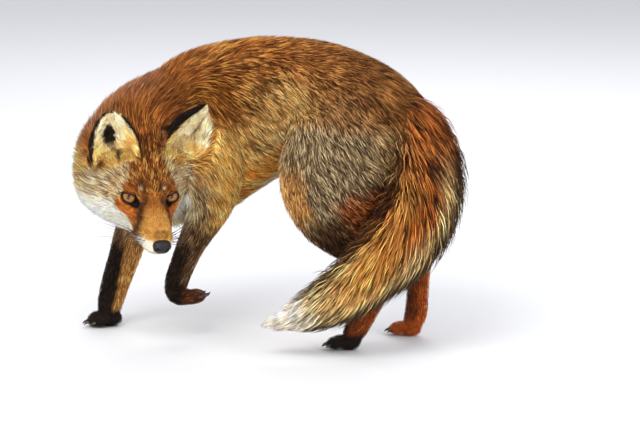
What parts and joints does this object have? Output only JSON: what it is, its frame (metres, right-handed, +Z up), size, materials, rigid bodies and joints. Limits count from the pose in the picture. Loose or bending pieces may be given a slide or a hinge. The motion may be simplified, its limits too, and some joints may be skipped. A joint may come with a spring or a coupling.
{
  "type": "red fox",
  "caption": "Still, life-size red fox in winter coat, turning to its left with the head lowered, one forepaw lifted and the full brush swept round.",
  "frame": {"origin": "on the floor, under the middle of the fox's overall box", "axes": "+X runs from the head end to the rump, +Y to the fox's right side, +Z up; the face looks towards -Y"},
  "size_m": [0.5458, 0.3184, 0.4284],
  "materials": {
    "coat_russet": "long rusty winter fur with dark and tan tips",
    "coat_grizzled": "grizzled grey-brown fur with cream tips",
    "stocking_black": "short black-brown fur with reddish edges",
    "brush": "long loose brush hair, rusty above, cream below, black-tipped",
    "face": "short face fur, rusty with white lips and cheeks",
    "ear": "short velvety fur, black behind, cream inside",
    "eye": "amber iris with an upright dark pupil under a clear glossy front",
    "nose": "damp, finely pebbled black nose leather"
  },
  "bodies": {
    "root": {"neck": "coat_russet", "chest": "coat_russet", "belly": "coat_russet", "rump": "coat_russet", "hind_leg_left_shin": "coat_russet", "hind_leg_right_shin": "coat_russet", "hind_leg_left_thigh": "coat_grizzled", "hind_leg_right_thigh": "coat_grizzled", "fore_leg_left_upper_arm": "coat_grizzled", "fore_leg_right_upper_arm": "coat_grizzled", "fore_leg_left_forearm": "stocking_black", "fore_leg_right_forearm": "stocking_black", "fore_leg_left_paw": "stocking_black", "fore_leg_right_paw": "stocking_black", "hind_leg_left_foot": "stocking_black", "hind_leg_right_foot": "stocking_black", "tail_base": "brush", "tail_middle": "brush", "tail_tip": "brush", "head": "face", "ear_left": "ear", "ear_right": "ear", "eye_left": "eye", "eye_right": "eye", "nose": "nose"}
  },
  "joints": []
}
